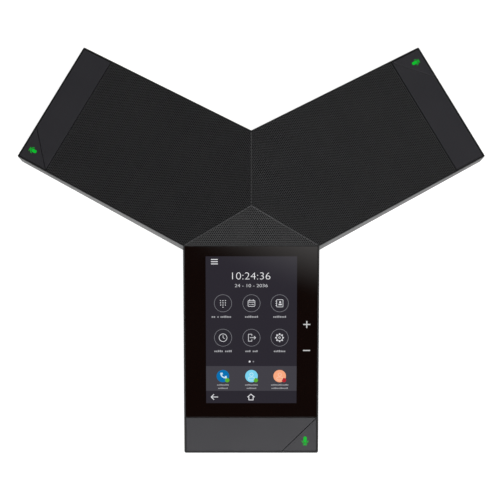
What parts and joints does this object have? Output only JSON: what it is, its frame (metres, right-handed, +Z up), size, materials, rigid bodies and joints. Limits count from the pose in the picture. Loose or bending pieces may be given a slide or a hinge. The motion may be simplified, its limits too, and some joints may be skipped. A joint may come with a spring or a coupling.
{
  "type": "three-armed conference phone",
  "caption": "Low three-armed tabletop conference phone: folded perforated grille, touch screen in the front arm, end caps with triangular mute keys, undercut base with feet and a socket bay.",
  "frame": {"origin": "centre of the box round the three arms, on the table that the feet rest on", "axes": "+Z up, -Y towards the user at the front arm, +X to the user's right"},
  "size_m": [0.385, 0.3338, 0.074],
  "materials": {
    "acoustic_cloth": "black woven",
    "antenna_film": "etched",
    "basket_steel": "pressed, painted",
    "black_resin": "cast",
    "boot_rubber": "moulded",
    "cap_plastic": "satin moulded",
    "circuit_board": "solder mask",
    "coil_copper": "enamelled wire",
    "cone_paper": "pressed pulp",
    "connector_plastic": "moulded",
    "cover_glass": "black printed back, gloss",
    "ferrite": "sintered",
    "flex_film": "polyimide",
    "foam": "closed-cell foam",
    "foot_rubber": "moulded",
    "grille_steel": "perforated, black powder coat",
    "housing_plastic": "satin moulded",
    "inner_plastic": "moulded",
    "jack_shell": "nickel plated",
    "lcd_surface": "dark polariser",
    "led_resin": "clear resin",
    "light_guide": "lit green",
    "microphone_can": "drawn",
    "plated_metal": "zinc plated",
    "screw_steel": "zinc plated",
    "spider_cloth": "resined cotton",
    "surround_rubber": "moulded",
    "switch_button": "moulded",
    "tin_plate": "tin plated"
  },
  "bodies": {
    "root": {"base_housing": "housing_plastic", "top_housing": "housing_plastic", "speaker_grille": "grille_steel", "acoustic_cloth": "acoustic_cloth", "end_cap_front": "cap_plastic", "end_cap_right": "cap_plastic", "end_cap_left": "cap_plastic", "key_switches": "plated_metal", "key_boards": "circuit_board", "key_leds": "led_resin", "key_board_screws": "screw_steel", "display_glass": "cover_glass", "lcd_panel": "lcd_surface", "display_tray": "plated_metal", "display_screws": "screw_steel", "display_flex": "flex_film", "flex_connector": "connector_plastic", "main_board": "circuit_board", "board_screws": "screw_steel", "processor_shield": "tin_plate", "radio_shield": "tin_plate", "network_transformer": "black_resin", "lan_jack": "jack_shell", "usb_socket": "jack_shell", "service_socket": "jack_shell", "speaker_chamber": "inner_plastic", "speaker_baffle": "inner_plastic", "chamber_screws": "screw_steel", "basket_seal": "foam", "speaker_basket": "basket_steel", "speaker_screws": "screw_steel", "top_plate": "plated_metal", "magnet_ring": "ferrite", "magnet_yoke": "plated_metal", "cone_surround": "surround_rubber", "spider": "spider_cloth", "grille_seal": "foam", "microphones": "microphone_can", "microphone_boots": "boot_rubber", "wifi_antennas": "antenna_film", "housing_screws": "screw_steel", "rubber_feet": "foot_rubber"},
    "mute_key_front": {"mute_key_front": "cap_plastic", "mute_light_front": "light_guide", "switch_plunger_front": "switch_button"},
    "mute_key_right": {"mute_key_right": "cap_plastic", "mute_light_right": "light_guide", "switch_plunger_right": "switch_button"},
    "mute_key_left": {"mute_key_left": "cap_plastic", "mute_light_left": "light_guide", "switch_plunger_left": "switch_button"},
    "cone_assembly": {"voice_coil": "coil_copper", "speaker_cone": "cone_paper", "dust_cap": "cone_paper"}
  },
  "joints": [
    {"name": "mute_press_front", "type": "slide", "parent": "root", "child": "mute_key_front", "axis": [0, 0.2588, -0.9659], "range_m": [0, 0.0008], "stiffness_N_per_m": 1500, "springref_m": -0.0004},
    {"name": "mute_press_right", "type": "slide", "parent": "root", "child": "mute_key_right", "axis": [-0.2241, -0.1294, -0.9659], "range_m": [0, 0.0008], "stiffness_N_per_m": 1500, "springref_m": -0.0004},
    {"name": "mute_press_left", "type": "slide", "parent": "root", "child": "mute_key_left", "axis": [0.2241, -0.1294, -0.9659], "range_m": [0, 0.0008], "stiffness_N_per_m": 1500, "springref_m": -0.0004},
    {"name": "cone_travel", "type": "slide", "parent": "root", "child": "cone_assembly", "axis": [0, 0, 1], "range_m": [-0.0015, 0.0015], "stiffness_N_per_m": 1200, "deforming": ["cone_surround", "spider"]}
  ]
}
